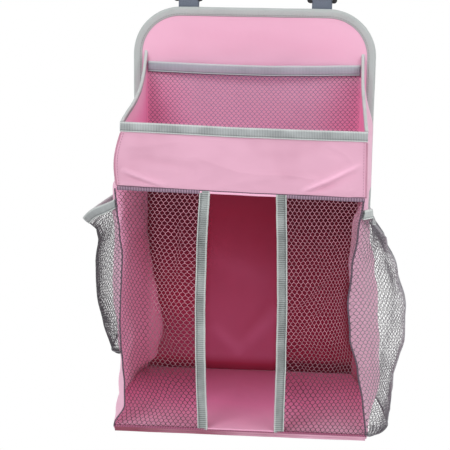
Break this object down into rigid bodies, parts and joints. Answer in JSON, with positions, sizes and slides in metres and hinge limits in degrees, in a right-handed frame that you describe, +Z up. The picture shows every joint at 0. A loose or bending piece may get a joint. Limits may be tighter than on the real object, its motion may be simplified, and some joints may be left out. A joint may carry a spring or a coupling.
{
  "type": "hanging organizer",
  "caption": "Soft hanging nursery caddy: open tray above a netted compartment, side net pockets, and strap loops with side-release buckles that hang it on a rail.",
  "frame": {"origin": "top of the rail that the caddy hangs on, midway between its two strap loops", "axes": "+X to the caddy's right as seen from the front, +Y to the back, into the rail and the cot, +Z up"},
  "size_m": [0.3895, 0.2579, 0.58],
  "materials": {
    "pink_cloth": "smooth plain-woven polyester, matt",
    "grey_felt_binding": "soft brushed binding tape",
    "grey_ribbon_binding": "ribbed grosgrain ribbon",
    "dark_seam_tape": "thin overlocked seam tape",
    "grey_netting": "six-sided polyester netting",
    "slate_webbing": "woven polypropylene webbing",
    "stiffening_board": "plain grey board",
    "black_plastic": "moulded acetal, fine grain"
  },
  "bodies": {
    "hangers": {"left_strap": "slate_webbing", "left_buckle_tab": "slate_webbing", "left_buckle_socket": "black_plastic", "right_strap": "slate_webbing", "right_buckle_tab": "slate_webbing", "right_buckle_socket": "black_plastic"},
    "caddy": {"back_panel_front_cloth": "pink_cloth", "back_panel_board": "stiffening_board", "back_panel_rear_cloth": "pink_cloth", "back_panel_binding": "grey_felt_binding", "tray_front": "pink_cloth", "tray_front_binding": "grey_ribbon_binding", "tray_floor_top_cloth": "pink_cloth", "tray_floor_board": "stiffening_board", "tray_floor_bottom_cloth": "pink_cloth", "base_top_cloth": "pink_cloth", "base_board": "stiffening_board", "base_bottom_cloth": "pink_cloth", "inner_pocket_net": "grey_netting", "inner_pocket_band": "grey_ribbon_binding", "left_side": "pink_cloth", "tray_left_binding": "grey_ribbon_binding", "left_front_net": "grey_netting", "left_slot_binding": "grey_ribbon_binding", "left_front_seam": "dark_seam_tape", "left_pocket_net": "grey_netting", "left_pocket_rim": "grey_ribbon_binding", "left_tab_front_end": "slate_webbing", "left_tab_back_end": "slate_webbing", "left_strap_end": "slate_webbing", "right_side": "pink_cloth", "tray_right_binding": "grey_ribbon_binding", "right_front_net": "grey_netting", "right_slot_binding": "grey_ribbon_binding", "right_front_seam": "dark_seam_tape", "right_pocket_net": "grey_netting", "right_pocket_rim": "grey_ribbon_binding", "right_tab_front_end": "slate_webbing", "right_tab_back_end": "slate_webbing", "right_strap_end": "slate_webbing"},
    "left_plug": {"left_buckle_plug": "black_plastic"},
    "left_outer_arm": {"left_buckle_outer_arm": "black_plastic"},
    "left_inner_arm": {"left_buckle_inner_arm": "black_plastic"},
    "right_plug": {"right_buckle_plug": "black_plastic"},
    "right_outer_arm": {"right_buckle_outer_arm": "black_plastic"},
    "right_inner_arm": {"right_buckle_inner_arm": "black_plastic"}
  },
  "joints": [
    {"name": "caddy_swing", "type": "hinge", "parent": "hangers", "child": "caddy", "pos_m": [0, -0.0235, -0.0802], "axis": [-1, 0, 0], "range_deg": [0, 35]},
    {"name": "left_buckle_release", "type": "slide", "parent": "hangers", "child": "left_plug", "axis": [0, 0, 1], "range_m": [0, 0.028], "deforming": ["left_strap", "left_buckle_outer_arm", "left_buckle_inner_arm"]},
    {"name": "left_buckle_squeeze_outer", "type": "hinge", "parent": "left_plug", "child": "left_outer_arm", "pos_m": [-0.0974, -0.0203, -0.0357], "axis": [0, -1, 0], "range_deg": [0, 10], "stiffness_Nm_per_rad": 0.02},
    {"name": "left_buckle_squeeze_inner", "type": "hinge", "parent": "left_plug", "child": "left_inner_arm", "pos_m": [-0.0686, -0.0203, -0.0357], "axis": [0, 1, 0], "range_deg": [0, 10], "stiffness_Nm_per_rad": 0.02},
    {"name": "right_buckle_release", "type": "slide", "parent": "hangers", "child": "right_plug", "axis": [0, 0, 1], "range_m": [0, 0.028], "deforming": ["right_strap", "right_buckle_outer_arm", "right_buckle_inner_arm"]},
    {"name": "right_buckle_squeeze_outer", "type": "hinge", "parent": "right_plug", "child": "right_outer_arm", "pos_m": [0.0974, -0.0203, -0.0357], "axis": [0, 1, 0], "range_deg": [0, 10], "stiffness_Nm_per_rad": 0.02},
    {"name": "right_buckle_squeeze_inner", "type": "hinge", "parent": "right_plug", "child": "right_inner_arm", "pos_m": [0.0686, -0.0203, -0.0357], "axis": [0, -1, 0], "range_deg": [0, 10], "stiffness_Nm_per_rad": 0.02}
  ],
  "couplings": [
    {"joint": "left_buckle_squeeze_inner", "follows": "left_buckle_squeeze_outer", "ratio": 1},
    {"joint": "right_buckle_squeeze_inner", "follows": "right_buckle_squeeze_outer", "ratio": 1}
  ]
}
